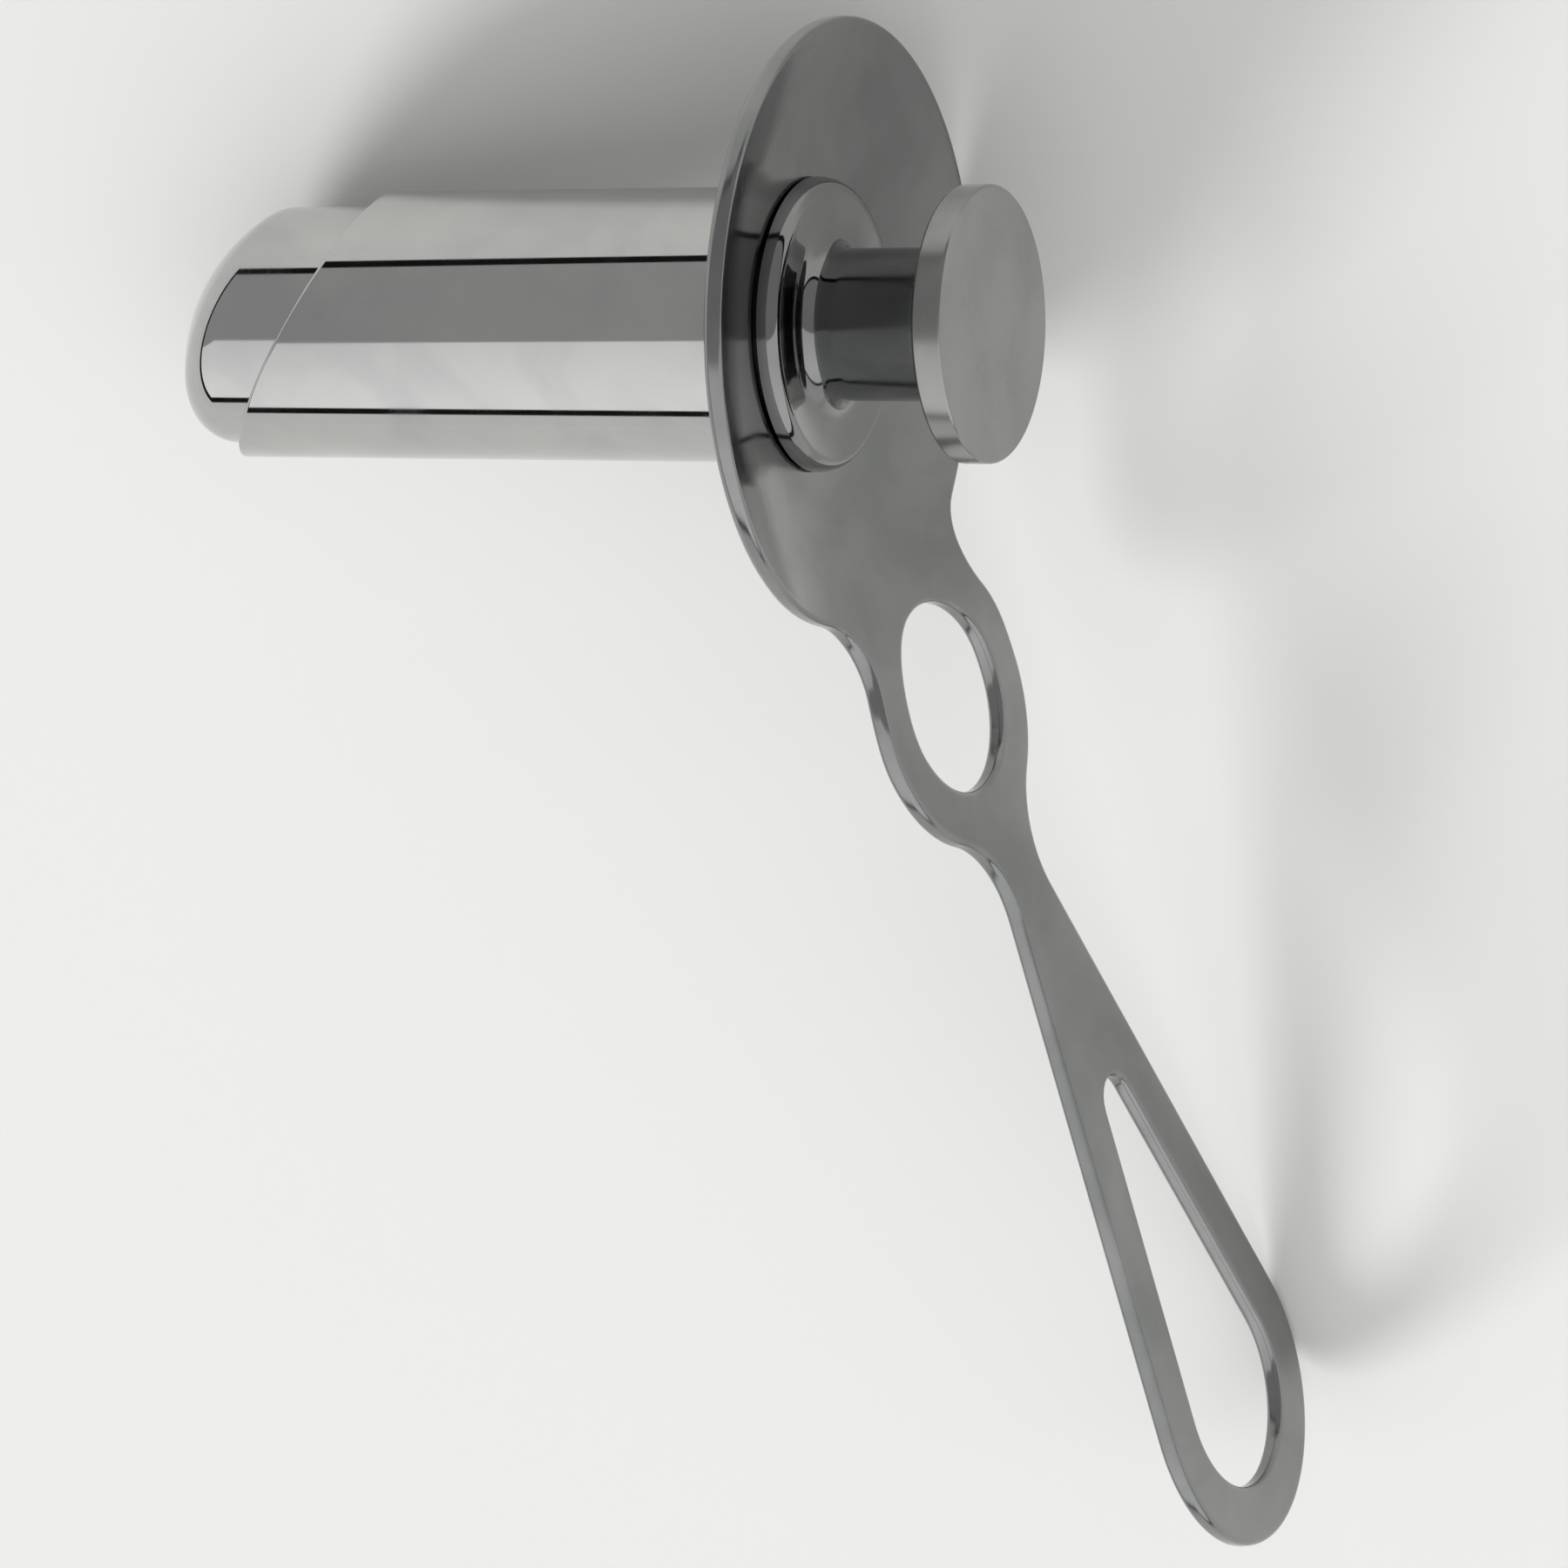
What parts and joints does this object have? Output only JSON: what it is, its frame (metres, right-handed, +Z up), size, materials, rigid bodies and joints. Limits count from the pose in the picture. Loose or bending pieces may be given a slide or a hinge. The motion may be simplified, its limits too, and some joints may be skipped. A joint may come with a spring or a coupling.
{
  "type": "tubular anal speculum",
  "caption": "Polished steel tubular anal speculum: oblique-ended tube, dished flange with finger ring and loop handle, and a lift-out obturator with a domed nose and round grip",
  "frame": {"origin": "centre of the bounding box on the surface the instrument lies on", "axes": "+Z up from that surface, -Y towards the loop handle, +X towards the obturator's grip"},
  "size_m": [0.1114, 0.1842, 0.0655],
  "materials": {
    "polished_steel": "mirror-polished stainless steel",
    "plate_steel": "polished stainless steel sheet",
    "satin_steel": "fine satin stainless steel"
  },
  "bodies": {
    "sheath": {"sheath_tube": "polished_steel", "handle_plate": "plate_steel"},
    "obturator": {"obturator_shell": "polished_steel", "grip_spindle": "polished_steel", "grip_knob": "satin_steel"}
  },
  "joints": [
    {"name": "obturator_slide", "type": "slide", "parent": "sheath", "child": "obturator", "axis": [0.962, -0.0451, 0.2692], "range_m": [0, 0.09]}
  ]
}
